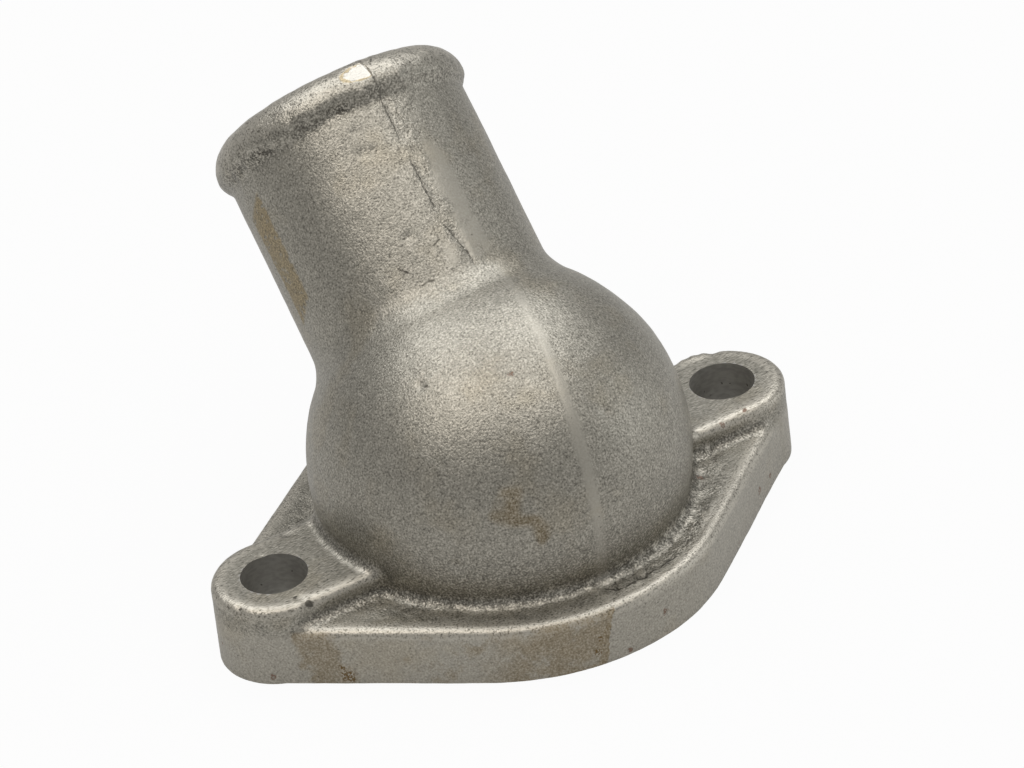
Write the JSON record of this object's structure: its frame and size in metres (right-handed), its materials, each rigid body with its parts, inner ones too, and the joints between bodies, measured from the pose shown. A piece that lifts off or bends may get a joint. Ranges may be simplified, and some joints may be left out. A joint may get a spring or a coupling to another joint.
{
  "type": "thermostat housing",
  "caption": "Cast-iron thermostat housing: a domed chamber on a two-bolt gasket flange, with a hose neck that leans 45 degrees and ends in a bead.",
  "frame": {"origin": "middle of the housing's width and depth, in the plane of the gasket face", "axes": "+X along the line through the bolt holes, +Z out of the flange towards the dome, +Y the way the hose neck leans"},
  "size_m": [0.103, 0.0938, 0.076],
  "materials": {
    "cast_iron": "sand-cast and blasted grey iron with a satin sheen, drilled holes and a machined gasket face"
  },
  "bodies": {
    "root": {"housing": "cast_iron"}
  },
  "joints": []
}
